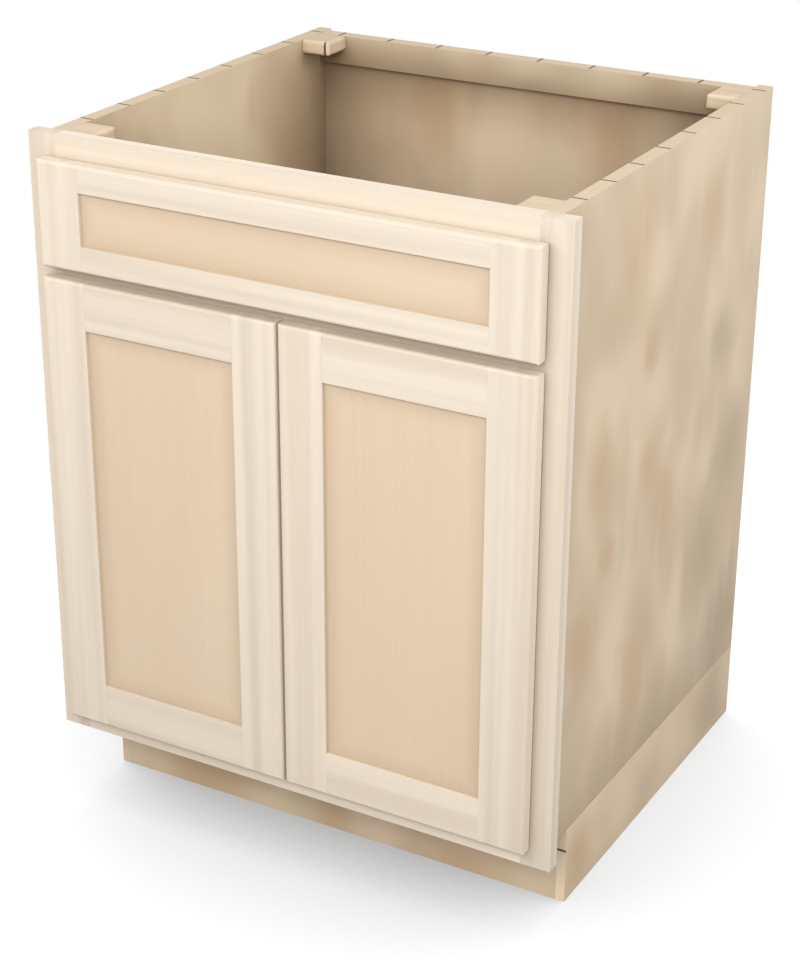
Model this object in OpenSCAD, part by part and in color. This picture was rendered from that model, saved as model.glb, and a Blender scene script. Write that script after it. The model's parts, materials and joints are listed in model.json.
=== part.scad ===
// Base cabinet with a face frame, two recessed-panel doors and a fixed drawer front.
// It stands on the floor at z = 0 with its front towards -Y, and its middle is at x = 0, y = 0.

/* [Cabinet] */
// Width across the face frame
cab_w = 685.8; // [600:0.1:900]
// Height from the floor to the open top
cab_h = 876.3; // [780:0.1:960]
// Depth from the front of the face frame to the rear ends of the side panels
cab_d = 609.6; // [500:0.1:700]

/* [Face frame] */
// Width of the stiles and rails of the face frame
frame_w = 38.1; // [34:0.1:50]
// Thickness of the face frame
frame_t = 19.05; // [18:0.05:24]
// Radius on the outer edges of the face frame's stiles
frame_ease = 0.8; // [0.4:0.1:2]
// Height of the opening behind the drawer front
drawer_open_h = 101.6; // [95:0.1:160]
// Angle between a pocket screw and its rail
pocket_angle = 15; // [13:1:18]
// Radius of the bore that a pocket screw's head goes in through
pocket_r = 4.8; // [4.4:0.1:5.2]
// How far a pocket screw bites into its stile
pocket_bite = 13; // [8:0.5:18]

/* [Case] */
// Thickness of the side panels and the plinth sides
side_t = 18; // [15:0.5:20]
// Depth of the dadoes and grooves in the side panels
dado_d = 6; // [4:0.5:9]
// Thickness of the floor panel
floor_t = 15; // [10:0.5:20]
// Thickness of the back panel
back_t = 6; // [4:0.5:9]
// How far the side panels run on behind the back panel
back_inset = 11.1; // [6:0.1:25]
// Thickness of the rail along the top of the back
top_rail_t = 19.05; // [15:0.05:24]
// Height of the rail along the top of the back
top_rail_h = 38.1; // [30:0.1:60]
// Height of the rabbet in that rail which holds the back panel's top edge
rabbet_h = 10; // [6:0.5:16]
// Width of a corner block, across the cabinet
block_w = 40; // [30:1:60]
// Depth of a corner block, from front to back
block_d = 44; // [30:1:60]
// Thickness of a corner block
block_t = 19; // [12:0.5:19.5]
// Radius on the free edges of a corner block
block_ease = 5; // [2:0.5:8]

/* [Plinth] */
// Height of the plinth, which is also the height of the toe space
toe_h = 101.6; // [90:0.1:130]
// How far the toe-kick board stands back from the face frame
toe_setback = 88.9; // [60:0.1:110]
// Thickness of the toe-kick board
toe_t = 18; // [12:0.5:19]
// Width of a plinth side's end that shows beside the toe-kick board
toe_show = 12; // [8:0.5:13]
// Thickness of the plinth's rear rail
plinth_rail_t = 19; // [12:0.5:25]
// Thickness of the cleats under the floor panel
cleat_t = 19; // [12:0.5:25]
// Height of the cleats under the floor panel
cleat_h = 60; // [45:1:90]

/* [Doors and drawer front] */
// How far the doors and the drawer front lap over the face frame
overlay = 12.7; // [11.5:0.1:15]
// Thickness of the doors and the drawer front
front_t = 19.05; // [18:0.05:22]
// Gap behind the doors and the drawer front, which their bumpers fill
front_gap = 2.4; // [2.2:0.1:3]
// Gap between the two doors
meeting_gap = 3; // [2:0.5:5]
// Width of the doors' stiles and rails and of the drawer front's stiles
member_w = 57.15; // [50:0.05:75]
// Width of the drawer front's rails
drawer_rail_w = 31.75; // [25:0.05:40]
// Thickness of the flat panels
panel_t = 6; // [4:0.5:7]
// How far a flat panel lies behind the front of its frame
panel_set = 4.5; // [3:0.1:8]
// Depth of the grooves that hold the flat panels
groove_d = 9.5; // [7:0.1:12]
// Gap between a panel's edge and the bottom of its groove
panel_float = 1.5; // [0.5:0.1:3]
// Gap between a panel's face and the side of its groove
panel_fit = 0.1; // [0.05:0.05:0.3]
// Radius on the front outer edges of the doors and the drawer front
edge_r = 2; // [1:0.5:5]
// Radius on their rear outer edges, which lets a door swing past the frame
back_r = 2.4; // [2.2:0.1:3]
// Radius of a bumper
bumper_r = 4; // [3:0.5:5]
// Distance of a door's bumpers from its free edge
bumper_in = 12; // [8:0.5:30]

/* [Drawer front fixing] */
// Width of a bar behind the face frame
bar_w = 38.1; // [25:0.1:45]
// Thickness of a bar
bar_t = 19.05; // [12:0.05:25]
// How far a bar laps onto the rails above and below the opening
bar_lap = 15; // [8:0.5:18]
// Height between the two screws of a bar
bar_pitch = 50; // [30:1:70]
// How far a bar's screws bite into the drawer front
bar_bite = 11; // [8:0.5:13]

/* [Hinges] */
// Distance of a hinge from the top or bottom edge of its door
hinge_end = 76; // [60:1:120]
// Distance of the hinge pin from the outer edge of its door
pin_in = 8; // [7.5:0.1:8.2]
// Depth of the hinge pin below the back of its door
pin_deep = 9.5; // [9.3:0.1:10]
// Radius of a hinge pin
pin_r = 1.25; // [1:0.05:1.4]
// Length of a hinge pin
pin_len = 18; // [14:0.5:19]
// Radius of a hinge cup
cup_r = 17.5; // [17:0.1:18]
// Wood left between a hinge cup and the outer edge of its door
cup_tab = 3; // [2.6:0.1:3.4]
// Depth of a hinge cup below the back of its door
cup_depth = 13.2; // [13:0.1:14]
// Thickness of a hinge cup's rim and bottom
cup_wall = 0.8; // [0.5:0.1:1]
// Width of the slot in a hinge cup that the arm works in
slot_w = 10.4; // [10:0.1:10.8]
// Thickness of the flange of a hinge cup
flange_t = 0.8; // [0.6:0.1:1]
// Distance of a flange's screw above or below the middle of the hinge
ear_up = 24; // [22:0.5:28]
// Distance of a flange's screw from the middle of the cup, away from the door's edge
ear_in = 5.5; // [4:0.5:8]
// Radius of a flange's ears
ear_r = 5.5; // [5:0.5:7]
// Width of a hinge arm
arm_w = 9; // [7:0.5:9]
// Thickness of a hinge arm
arm_t = 1.8; // [1.4:0.1:2]
// Distance from the hinge pin to the leg of the arm that comes out of the cup
arm_reach = 13.5; // [13:0.1:15]
// How far the arm dips into the cup between the pin and that leg
arm_dip = 1.3; // [1:0.1:1.5]
// How far behind the front of the face frame that leg turns towards its plate
arm_turn = 2.6; // [2:0.1:6]
// Radius of the eye of the arm round the pin
eye_r = 2.3; // [2:0.1:2.4]
// Thickness of an arm's plate on the edge of the face frame
plate_t = 2; // [1.5:0.1:2.5]
// Width of that plate
plate_w = 15; // [12:0.5:16]
// Height of that plate
plate_h = 44; // [38:1:50]
// Distance of the plate's screws above or below the middle of the hinge
plate_up = 15; // [11:0.5:17]

/* [Screws] */
// Radius of a screw
screw_r = 1.6; // [1.4:0.1:1.8]
// Radius of a screw's head
head_r = 3.4; // [3:0.1:3.8]
// Height of a screw's head
head_h = 1.8; // [1.4:0.1:2.2]
// Width of the cross recess in a screw's head
recess_w = 0.8; // [0.6:0.1:1.2]
// Depth of the cross recess in a screw's head
recess_d = 1.1; // [0.6:0.1:1.2]
// How far a hinge screw bites into the wood
hinge_bite = 13; // [9:0.5:15]
// Clearance round screws, pins and cups in their holes
hole_fit = 0.05; // [0.02:0.01:0.08]

/* [Hidden] */
$fn = 48;
cut = 1; // how far a cutting shape runs past the face it opens

// Half the width of the openings, which is where the side panels' inner faces are
in_x = cab_w / 2 - frame_w;
// Outer face of a side panel
side_x = in_x + side_t;
// Heights in the face frame and the case
top_z = cab_h - frame_w;
mid_top = top_z - drawer_open_h;
mid_z = mid_top - frame_w;
floor_z = toe_h + frame_w;
under_z = floor_z - floor_t;
rail_z = cab_h - top_rail_h;
back_top = rail_z + rabbet_h;
// Depths behind the front of the face frame
back_y = cab_d - back_inset - back_t;
top_rail_y = back_y + back_t - top_rail_t;
// Doors and drawer front
front_x = in_x + overlay;
door_z = floor_z - overlay;
door_h = mid_z + overlay - door_z;
door_w = front_x - meeting_gap / 2;
drawer_z = mid_top - overlay;
drawer_h = drawer_open_h + 2 * overlay;
drawer_mid = mid_top + drawer_open_h / 2;
tongue_t = panel_t + 2 * panel_fit;
tongue_y = panel_set - panel_fit;
panel_in = groove_d - panel_float;
// Drawer front bars and their screws
bar_x = in_x - bar_w / 2;
bar_h = drawer_open_h + 2 * bar_lap;
bar_screw = bar_t + frame_t + front_gap + bar_bite;
// Hinges, measured from the pin towards the middle of the cabinet and to the rear
pin_x = front_x - pin_in;
pin_y = -front_gap - pin_deep;
cup_x = cup_tab + cup_r - pin_in;
frame_from_pin = front_gap + pin_deep;
plate_x = overlay - pin_in;
plate_y = frame_from_pin + frame_t / 2;
arm_bend = frame_from_pin + arm_turn;
hinge_low = door_z + hinge_end;
hinge_high = door_z + door_h - hinge_end;
// Pocket screws, whose heads stop at a shoulder just inside the back of the rail
pocket_skin = 0.25;
pocket_seat = (frame_t / 2 - pocket_r * cos(pocket_angle) - pocket_skin) / sin(pocket_angle);
pocket_run = frame_t / sin(pocket_angle);
// Tops and tips of screws, and the free ends of bumpers
head_top_r = 0.8 * head_r;
tip_r = 0.2;
bumper_top_r = 0.85 * bumper_r;

frame_wood = [0.93, 0.86, 0.75];
panel_wood = [0.87, 0.76, 0.61];
ply_wood = [0.80, 0.70, 0.56];
steel = [0.72, 0.73, 0.74];
clear_rubber = [0.88, 0.88, 0.86];

// Places and shared shapes

// Pieces are drawn with y = 0 at the front of the face frame, then centred on the whole depth
module placed() {
    translate([0, (front_gap + front_t - cab_d) / 2, 0]) children();
}

// The right-hand copy of what is drawn on the left
module on_right() {
    mirror([1, 0, 0]) children();
}

// What is drawn on the left, on both sides
module both_sides() {
    children();
    on_right() children();
}

// A plain board between two opposite corners
module board(from, to) {
    translate(from) cube(to - from);
}

// What a rounding of radius r takes off a corner at the origin
module corner_waste(r) {
    difference() {
        translate([-cut, -cut]) square(r + cut);
        translate([r, r]) circle(r);
    }
}

// A w by d rectangle with radius front on its two corners at y = 0 and radius rear on the others
module eased_rectangle(w, d, front, rear) {
    difference() {
        square([w, d]);
        corner_waste(front);
        translate([w, 0]) mirror([1, 0, 0]) corner_waste(front);
        translate([0, d]) mirror([0, 1, 0]) corner_waste(rear);
        translate([w, d]) rotate(180) corner_waste(rear);
    }
}

// A w by h slab whose outer edges are rounded, mitred at the corners, with its front at y = 0
module front_slab(w, h) {
    intersection() {
        linear_extrude(h) eased_rectangle(w, front_t, edge_r, back_r);
        translate([w, 0, 0]) rotate([0, -90, 0])
            linear_extrude(w) eased_rectangle(h, front_t, edge_r, back_r);
    }
}

// A screw that goes down from z = 0, with its head above and a cross recess in the head
module screw(length) {
    tip = 2 * screw_r;
    difference() {
        union() {
            cylinder(r1 = head_r, r2 = head_top_r, h = head_h);
            translate([0, 0, tip - length]) cylinder(r = screw_r, h = length - tip);
            translate([0, 0, -length]) cylinder(r1 = tip_r, r2 = screw_r, h = tip);
        }
        for (a = [0, 90]) rotate(a)
            translate([-head_r / 2, -recess_w / 2, head_h - recess_d]) cube([head_r, recess_w, head_h]);
    }
}

// The hole for such a screw, open at its top
module screw_hole(length) {
    translate([0, 0, -length - hole_fit]) cylinder(r = screw_r + hole_fit, h = length + cut);
}

// Face frame

// Puts its children where the two pocket screws cross the left end of the rail whose middle is at z
module pockets(z) {
    for (side = [-1, 1])
        translate([-in_x, frame_t / 2, z + side * frame_w / 4]) rotate([0, 90, pocket_angle])
            children();
}

// The bores of one pocket screw: the wide one for its head and the pilot hole into the stile
module pocket_bores() {
    translate([0, 0, pocket_seat]) cylinder(r = pocket_r, h = pocket_run);
    translate([0, 0, pocket_seat]) screw_hole(pocket_seat + pocket_bite);
}

module frame_rail(z) {
    difference() {
        board([-in_x, 0, z], [in_x, frame_t, z + frame_w]);
        both_sides() pockets(z + frame_w / 2) pocket_bores();
    }
}

module frame_stile() {
    difference() {
        intersection() {
            board([-cab_w / 2, 0, toe_h], [-in_x, frame_t, cab_h]);
            translate([-cab_w / 2, 0, toe_h])
                linear_extrude(cab_h - toe_h)
                    eased_rectangle(cab_w, frame_t, frame_ease, frame_ease);
        }
        for (z = [toe_h, mid_z, top_z])
            pockets(z + frame_w / 2) pocket_bores();
        at_hinges() plate_screw_places() screw_hole(hinge_bite + plate_t);
    }
}

module frame_stile_left() {
    color(frame_wood) placed() frame_stile();
}

module frame_stile_right() {
    color(frame_wood) placed() on_right() frame_stile();
}

module frame_rail_top() {
    color(frame_wood) placed() frame_rail(top_z);
}

module frame_rail_middle() {
    color(frame_wood) placed() frame_rail(mid_z);
}

module frame_rail_bottom() {
    color(frame_wood) placed() frame_rail(toe_h);
}

module frame_pocket_screws() {
    color(steel) placed() both_sides()
        for (z = [toe_h, mid_z, top_z])
            pockets(z + frame_w / 2)
                translate([0, 0, pocket_seat]) screw(pocket_seat + pocket_bite);
}

// Case

module side_panel() {
    difference() {
        board([-side_x, frame_t, toe_h], [-in_x, cab_d, cab_h]);
        // dado for the floor panel
        board([-in_x - dado_d, frame_t - cut, under_z], [-in_x + cut, back_y + cut, floor_z]);
        // groove for the back panel
        board([-in_x - dado_d, back_y, toe_h - cut], [-in_x + cut, back_y + back_t, back_top]);
    }
}

module side_panel_left() {
    color(ply_wood) placed() side_panel();
}

module side_panel_right() {
    color(ply_wood) placed() on_right() side_panel();
}

module floor_panel() {
    color(ply_wood) placed()
        board([-in_x - dado_d, frame_t, under_z], [in_x + dado_d, back_y, floor_z]);
}

module back_panel() {
    color(ply_wood) placed()
        board([-in_x - dado_d, back_y, toe_h], [in_x + dado_d, back_y + back_t, back_top]);
}

module back_top_rail() {
    color(ply_wood) placed() difference() {
        board([-in_x, top_rail_y, rail_z], [in_x, top_rail_y + top_rail_t, cab_h]);
        // rabbet over the back panel's top edge
        board([-in_x - cut, back_y, rail_z - cut], [in_x + cut, back_y + back_t + cut, back_top]);
    }
}

// A corner block in the corner between a wall at x = 0 and a wall at y = 0, its underside at z = 0
module corner_block() {
    intersection() {
        linear_extrude(block_t) difference() {
            square([block_w, block_d]);
            translate([block_w, block_d]) rotate(180) corner_waste(block_ease);
        }
        translate([0, block_d, 0]) rotate([90, 0, 0]) linear_extrude(block_d) difference() {
            square([block_w, block_t]);
            translate([block_w, 0]) mirror([1, 0, 0]) corner_waste(block_ease);
            translate([block_w, block_t]) rotate(180) corner_waste(block_ease);
        }
        rotate([90, 0, 90]) linear_extrude(block_w) difference() {
            square([block_d, block_t]);
            translate([block_d, 0]) mirror([1, 0, 0]) corner_waste(block_ease);
            translate([block_d, block_t]) rotate(180) corner_waste(block_ease);
        }
    }
}

module front_block() {
    translate([-in_x, frame_t, cab_h - block_t]) corner_block();
}

module rear_block() {
    translate([-in_x, top_rail_y, cab_h - block_t]) mirror([0, 1, 0]) corner_block();
}

module corner_block_front_left() {
    color(panel_wood) placed() front_block();
}

module corner_block_front_right() {
    color(panel_wood) placed() on_right() front_block();
}

module corner_block_rear_left() {
    color(panel_wood) placed() rear_block();
}

module corner_block_rear_right() {
    color(panel_wood) placed() on_right() rear_block();
}

// Plinth

module plinth_side() {
    difference() {
        board([-side_x, toe_setback, 0], [-in_x, cab_d, toe_h]);
        // rabbet for the end of the toe-kick board
        board([toe_show - side_x, toe_setback - cut, -cut], [-in_x + cut, toe_setback + toe_t, toe_h + cut]);
    }
}

module plinth_side_left() {
    color(ply_wood) placed() plinth_side();
}

module plinth_side_right() {
    color(ply_wood) placed() on_right() plinth_side();
}

// Its ends are let into the plinth sides, and above them it goes up between the side panels
module toe_kick_board() {
    color(ply_wood) placed() union() {
        board([toe_show - side_x, toe_setback, 0], [side_x - toe_show, toe_setback + toe_t, toe_h]);
        board([-in_x, toe_setback, 0], [in_x, toe_setback + toe_t, under_z]);
    }
}

module plinth_rear_rail() {
    color(ply_wood) placed() board([-in_x, back_y - plinth_rail_t, 0], [in_x, back_y, under_z]);
}

// A cleat holds the floor panel, its side panel and the plinth side below it together
module floor_cleat() {
    board([-in_x, toe_setback + toe_t, under_z - cleat_h],
        [-in_x + cleat_t, back_y - plinth_rail_t, under_z]);
}

module floor_cleat_left() {
    color(panel_wood) placed() floor_cleat();
}

module floor_cleat_right() {
    color(panel_wood) placed() on_right() floor_cleat();
}

// Members of a w by h frame round a flat panel, with its rails rail_w wide and its front at y = 0

// The stile at x = 0, with the groove for the panel and the rails' tongues in its inner edge
module member_stile(w, h) {
    difference() {
        intersection() {
            front_slab(w, h);
            board([0, 0, 0], [member_w, front_t, h]);
        }
        board([member_w - groove_d, tongue_y, -cut], [member_w + cut, tongue_y + tongue_t, h + cut]);
    }
}

// The rail at z = 0, with a tongue on each end and the panel's groove in its inner edge
module member_rail(w, h, rail_w) {
    difference() {
        intersection() {
            front_slab(w, h);
            union() {
                board([member_w, 0, 0], [w - member_w, front_t, rail_w]);
                board([member_w - groove_d, tongue_y, 0],
                    [w - member_w + groove_d, tongue_y + tongue_t, rail_w]);
            }
        }
        board([0, tongue_y, rail_w - groove_d], [w, tongue_y + tongue_t, rail_w + cut]);
    }
}

// The flat panel, loose in the grooves on all four sides
module member_panel(w, h, rail_w) {
    board([member_w - panel_in, panel_set, rail_w - panel_in],
        [w - member_w + panel_in, panel_set + panel_t, h - rail_w + panel_in]);
}

// Turns a member over to the other end or side of a frame of that size
module other_side(size) {
    translate([size, 0, 0]) mirror([1, 0, 0]) children();
}

module other_end(size) {
    translate([0, 0, size]) mirror([0, 0, 1]) children();
}

module bumper(x, z) {
    translate([x, -front_gap, z]) rotate([-90, 0, 0])
        cylinder(r1 = bumper_r, r2 = bumper_top_r, h = front_gap);
}

// Drawer front, which is fixed

module drawer_front_place() {
    translate([-front_x, -front_gap - front_t, drawer_z]) children();
}

// Puts its children on the rear faces of the left bar and the face frame, where its screws go in
module bar_screw_places() {
    for (side = [-1, 1])
        translate([-bar_x, frame_t + bar_t, drawer_mid + side * bar_pitch / 2]) rotate([-90, 0, 0])
            children();
}

module drawer_front_stile() {
    difference() {
        drawer_front_place() member_stile(2 * front_x, drawer_h);
        bar_screw_places() screw_hole(bar_screw);
    }
}

module drawer_front_stile_left() {
    color(frame_wood) placed() drawer_front_stile();
}

module drawer_front_stile_right() {
    color(frame_wood) placed() on_right() drawer_front_stile();
}

module drawer_front_rail_bottom() {
    color(frame_wood) placed() drawer_front_place()
        member_rail(2 * front_x, drawer_h, drawer_rail_w);
}

module drawer_front_rail_top() {
    color(frame_wood) placed() drawer_front_place() other_end(drawer_h)
        member_rail(2 * front_x, drawer_h, drawer_rail_w);
}

module drawer_front_panel() {
    color(panel_wood) placed() drawer_front_place()
        member_panel(2 * front_x, drawer_h, drawer_rail_w);
}

// A bar bears on the backs of the rails above and below the opening
module drawer_front_bar() {
    difference() {
        board([-bar_x - bar_w / 2, frame_t, drawer_mid - bar_h / 2],
            [-bar_x + bar_w / 2, frame_t + bar_t, drawer_mid + bar_h / 2]);
        bar_screw_places() screw_hole(bar_screw);
    }
}

module drawer_front_bar_left() {
    color(panel_wood) placed() drawer_front_bar();
}

module drawer_front_bar_right() {
    color(panel_wood) placed() on_right() drawer_front_bar();
}

module drawer_front_screws() {
    color(steel) placed() both_sides() bar_screw_places() screw(bar_screw);
}

module drawer_front_bumpers() {
    color(clear_rubber) placed() both_sides()
        for (z = [overlay / 2, drawer_h - overlay / 2])
            bumper(-in_x - overlay / 2, drawer_z + z);
}

// Doors, drawn on the left and mirrored for the right

module door_place() {
    translate([-front_x, -front_gap - front_t, door_z]) children();
}

module door_hinge_stile() {
    difference() {
        door_place() member_stile(door_w, door_h);
        at_hinges() {
            cup_place() cylinder(r = cup_r + hole_fit, h = 2 * cup_depth, center = true);
            ear_screw_places() screw_hole(hinge_bite + flange_t);
        }
    }
}

module door_meeting_stile() {
    door_place() other_side(door_w) member_stile(door_w, door_h);
}

module door_rail_bottom() {
    door_place() member_rail(door_w, door_h, member_w);
}

module door_rail_top() {
    door_place() other_end(door_h) member_rail(door_w, door_h, member_w);
}

module door_panel() {
    door_place() member_panel(door_w, door_h, member_w);
}

module door_bumpers() {
    for (z = [overlay / 2, door_h - overlay / 2])
        bumper(-meeting_gap / 2 - bumper_in, door_z + z);
}

// Hinges, drawn from the pin at half the hinge's height, with +X towards the middle of the cabinet

module at_hinge(z) {
    translate([-pin_x, pin_y, z]) children();
}

module at_hinges() {
    at_hinge(hinge_low) children();
    at_hinge(hinge_high) children();
}

// The middle of the cup at the back face of the door, with the cup going down from z = 0
module cup_place() {
    translate([cup_x, pin_deep, 0]) rotate([-90, 0, 0]) children();
}

// The flange's ears, where the cup's two screws go in
module ear_screw_places() {
    for (side = [-1, 1])
        cup_place() translate([ear_in, side * ear_up, flange_t]) children();
}

// The arm's plate, where its two screws go into the edge of the face frame
module plate_screw_places() {
    for (side = [-1, 1])
        translate([plate_x + plate_t, plate_y, side * plate_up]) rotate([0, 90, 0]) children();
}

// The cup, with a slot for the arm between two cheeks that hold the ends of the pin
module hinge_cup() {
    difference() {
        cup_place() difference() {
            union() {
                translate([0, 0, -cup_depth]) cylinder(r = cup_r, h = cup_depth);
                linear_extrude(flange_t) for (side = [-1, 1]) {
                    circle(cup_r);
                    translate([ear_in, side * ear_up]) circle(ear_r);
                    translate([ear_in - ear_r, side > 0 ? 0 : -ear_up]) square([2 * ear_r, ear_up]);
                }
            }
            translate([0, 0, cup_wall - cup_depth])
                linear_extrude(cup_depth + cut) intersection() {
                    circle(cup_r - cup_wall);
                    square([2 * cup_r, slot_w], center = true);
                }
        }
        cylinder(r = pin_r + hole_fit, h = pin_len + 2 * hole_fit, center = true);
        ear_screw_places() screw_hole(hinge_bite);
    }
}

module hinge_pin() {
    cylinder(r = pin_r, h = pin_len, center = true);
}

// A straight run of the arm's strip between two points
module strip(from, to) {
    run = to - from;
    translate(from) rotate(atan2(run[1], run[0])) translate([0, -arm_t / 2])
        square([norm(run), arm_t]);
    translate(to) circle(arm_t / 2);
}

// The arm leaves the cup beside the pin, goes back through the opening and turns onto its plate
module hinge_arm() {
    dip = [arm_reach, -arm_dip];
    bend = [arm_reach, arm_bend];
    landing = [plate_x + plate_t / 2, plate_y];
    difference() {
        union() {
            linear_extrude(arm_w, center = true) {
                circle(eye_r);
                strip([0, 0], dip);
                strip(dip, bend);
                strip(bend, landing);
            }
            translate([plate_x, plate_y - plate_w / 2, -plate_h / 2])
                cube([plate_t, plate_w, plate_h]);
        }
        cylinder(r = pin_r + hole_fit, h = arm_w + cut, center = true);
        plate_screw_places() screw_hole(hinge_bite);
    }
}

module left_door_hinge_stile() {
    color(frame_wood) placed() door_hinge_stile();
}

module left_door_meeting_stile() {
    color(frame_wood) placed() door_meeting_stile();
}

module left_door_rail_top() {
    color(frame_wood) placed() door_rail_top();
}

module left_door_rail_bottom() {
    color(frame_wood) placed() door_rail_bottom();
}

module left_door_panel() {
    color(panel_wood) placed() door_panel();
}

module left_door_bumpers() {
    color(clear_rubber) placed() door_bumpers();
}

module left_upper_hinge_cup() {
    color(steel) placed() at_hinge(hinge_high) hinge_cup();
}

module left_lower_hinge_cup() {
    color(steel) placed() at_hinge(hinge_low) hinge_cup();
}

module left_upper_hinge_pin() {
    color(steel) placed() at_hinge(hinge_high) hinge_pin();
}

module left_lower_hinge_pin() {
    color(steel) placed() at_hinge(hinge_low) hinge_pin();
}

module left_upper_hinge_arm() {
    color(steel) placed() at_hinge(hinge_high) hinge_arm();
}

module left_lower_hinge_arm() {
    color(steel) placed() at_hinge(hinge_low) hinge_arm();
}

module left_hinge_cup_screws() {
    color(steel) placed() at_hinges() ear_screw_places() screw(hinge_bite);
}

module left_hinge_frame_screws() {
    color(steel) placed() at_hinges() plate_screw_places() screw(hinge_bite);
}

module right_door_hinge_stile() {
    color(frame_wood) placed() on_right() door_hinge_stile();
}

module right_door_meeting_stile() {
    color(frame_wood) placed() on_right() door_meeting_stile();
}

module right_door_rail_top() {
    color(frame_wood) placed() on_right() door_rail_top();
}

module right_door_rail_bottom() {
    color(frame_wood) placed() on_right() door_rail_bottom();
}

module right_door_panel() {
    color(panel_wood) placed() on_right() door_panel();
}

module right_door_bumpers() {
    color(clear_rubber) placed() on_right() door_bumpers();
}

module right_upper_hinge_cup() {
    color(steel) placed() on_right() at_hinge(hinge_high) hinge_cup();
}

module right_lower_hinge_cup() {
    color(steel) placed() on_right() at_hinge(hinge_low) hinge_cup();
}

module right_upper_hinge_pin() {
    color(steel) placed() on_right() at_hinge(hinge_high) hinge_pin();
}

module right_lower_hinge_pin() {
    color(steel) placed() on_right() at_hinge(hinge_low) hinge_pin();
}

module right_upper_hinge_arm() {
    color(steel) placed() on_right() at_hinge(hinge_high) hinge_arm();
}

module right_lower_hinge_arm() {
    color(steel) placed() on_right() at_hinge(hinge_low) hinge_arm();
}

module right_hinge_cup_screws() {
    color(steel) placed() on_right() at_hinges() ear_screw_places() screw(hinge_bite);
}

module right_hinge_frame_screws() {
    color(steel) placed() on_right() at_hinges() plate_screw_places() screw(hinge_bite);
}

frame_stile_left();
frame_stile_right();
frame_rail_top();
frame_rail_middle();
frame_rail_bottom();
frame_pocket_screws();
side_panel_left();
side_panel_right();
floor_panel();
back_panel();
back_top_rail();
corner_block_front_left();
corner_block_front_right();
corner_block_rear_left();
corner_block_rear_right();
plinth_side_left();
plinth_side_right();
toe_kick_board();
plinth_rear_rail();
floor_cleat_left();
floor_cleat_right();
drawer_front_stile_left();
drawer_front_stile_right();
drawer_front_rail_top();
drawer_front_rail_bottom();
drawer_front_panel();
drawer_front_bar_left();
drawer_front_bar_right();
drawer_front_screws();
drawer_front_bumpers();
left_door_hinge_stile();
left_door_meeting_stile();
left_door_rail_top();
left_door_rail_bottom();
left_door_panel();
left_door_bumpers();
left_upper_hinge_cup();
left_lower_hinge_cup();
left_upper_hinge_pin();
left_lower_hinge_pin();
left_upper_hinge_arm();
left_lower_hinge_arm();
left_hinge_cup_screws();
left_hinge_frame_screws();
right_door_hinge_stile();
right_door_meeting_stile();
right_door_rail_top();
right_door_rail_bottom();
right_door_panel();
right_door_bumpers();
right_upper_hinge_cup();
right_lower_hinge_cup();
right_upper_hinge_pin();
right_lower_hinge_pin();
right_upper_hinge_arm();
right_lower_hinge_arm();
right_hinge_cup_screws();
right_hinge_frame_screws();
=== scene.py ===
import json
import math
import random

import bmesh
import bpy
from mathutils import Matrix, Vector


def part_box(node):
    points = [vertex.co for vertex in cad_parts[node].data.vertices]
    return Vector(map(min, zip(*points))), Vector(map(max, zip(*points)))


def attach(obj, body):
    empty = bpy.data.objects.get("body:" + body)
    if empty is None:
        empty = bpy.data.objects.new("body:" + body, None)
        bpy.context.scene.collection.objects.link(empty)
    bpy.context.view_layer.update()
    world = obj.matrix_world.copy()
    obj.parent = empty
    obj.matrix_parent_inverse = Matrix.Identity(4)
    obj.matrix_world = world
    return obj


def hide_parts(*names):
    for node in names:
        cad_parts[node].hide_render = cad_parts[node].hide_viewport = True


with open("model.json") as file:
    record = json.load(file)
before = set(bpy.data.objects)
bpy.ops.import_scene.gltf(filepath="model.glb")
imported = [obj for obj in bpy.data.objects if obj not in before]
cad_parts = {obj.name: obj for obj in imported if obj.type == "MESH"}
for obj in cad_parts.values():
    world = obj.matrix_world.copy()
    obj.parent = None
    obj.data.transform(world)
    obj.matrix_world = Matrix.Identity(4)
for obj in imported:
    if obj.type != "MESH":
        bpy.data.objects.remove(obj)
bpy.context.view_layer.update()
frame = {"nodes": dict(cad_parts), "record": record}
parts = frame["nodes"]
record = frame["record"]
bodies = record["behaviour"]["bodies"]
bodyOf = {member: body for body, members in bodies.items() for member in members}
slotOf = {row["node"]: row["material_slot"] for row in record["subparts"]}
print("frame loaded,", len(parts), "parts")


# Small helpers for node trees

def newMaterial(name):
    material = bpy.data.materials.new(name)
    material.use_nodes = True
    material.node_tree.nodes.clear()
    return material, material.node_tree


def addNode(tree, kind, inputs=None, **settings):
    made = tree.nodes.new("ShaderNode" + kind)
    for setting, value in settings.items():
        setattr(made, setting, value)
    for socket, value in (inputs or {}).items():
        if isinstance(value, bpy.types.NodeSocket):
            tree.links.new(value, made.inputs[socket])
        else:
            made.inputs[socket].default_value = value
    return made


def calculate(tree, operation, first, second=0.0):
    return addNode(tree, "Math", {0: first, 1: second}, operation=operation).outputs[0]


def times(tree, first, second):
    return calculate(tree, "MULTIPLY", first, second)


def vectors(tree, operation, first, second=(0, 0, 0)):
    made = addNode(tree, "VectorMath", {0: first, 1: second}, operation=operation)
    return made.outputs["Value" if operation == "LENGTH" else "Vector"]


def alongAxis(tree, vector, axis):
    return addNode(tree, "SeparateXYZ", {0: vector}).outputs[axis]


def remap(tree, value, fromLow, fromHigh, toLow=0.0, toHigh=1.0, smooth=False):
    kind = "SMOOTHSTEP" if smooth else "LINEAR"
    limits = {"From Min": fromLow, "From Max": fromHigh, "To Min": toLow, "To Max": toHigh}
    made = addNode(tree, "MapRange", {"Value": value, **limits}, interpolation_type=kind)
    return made.outputs["Result"]


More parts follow.
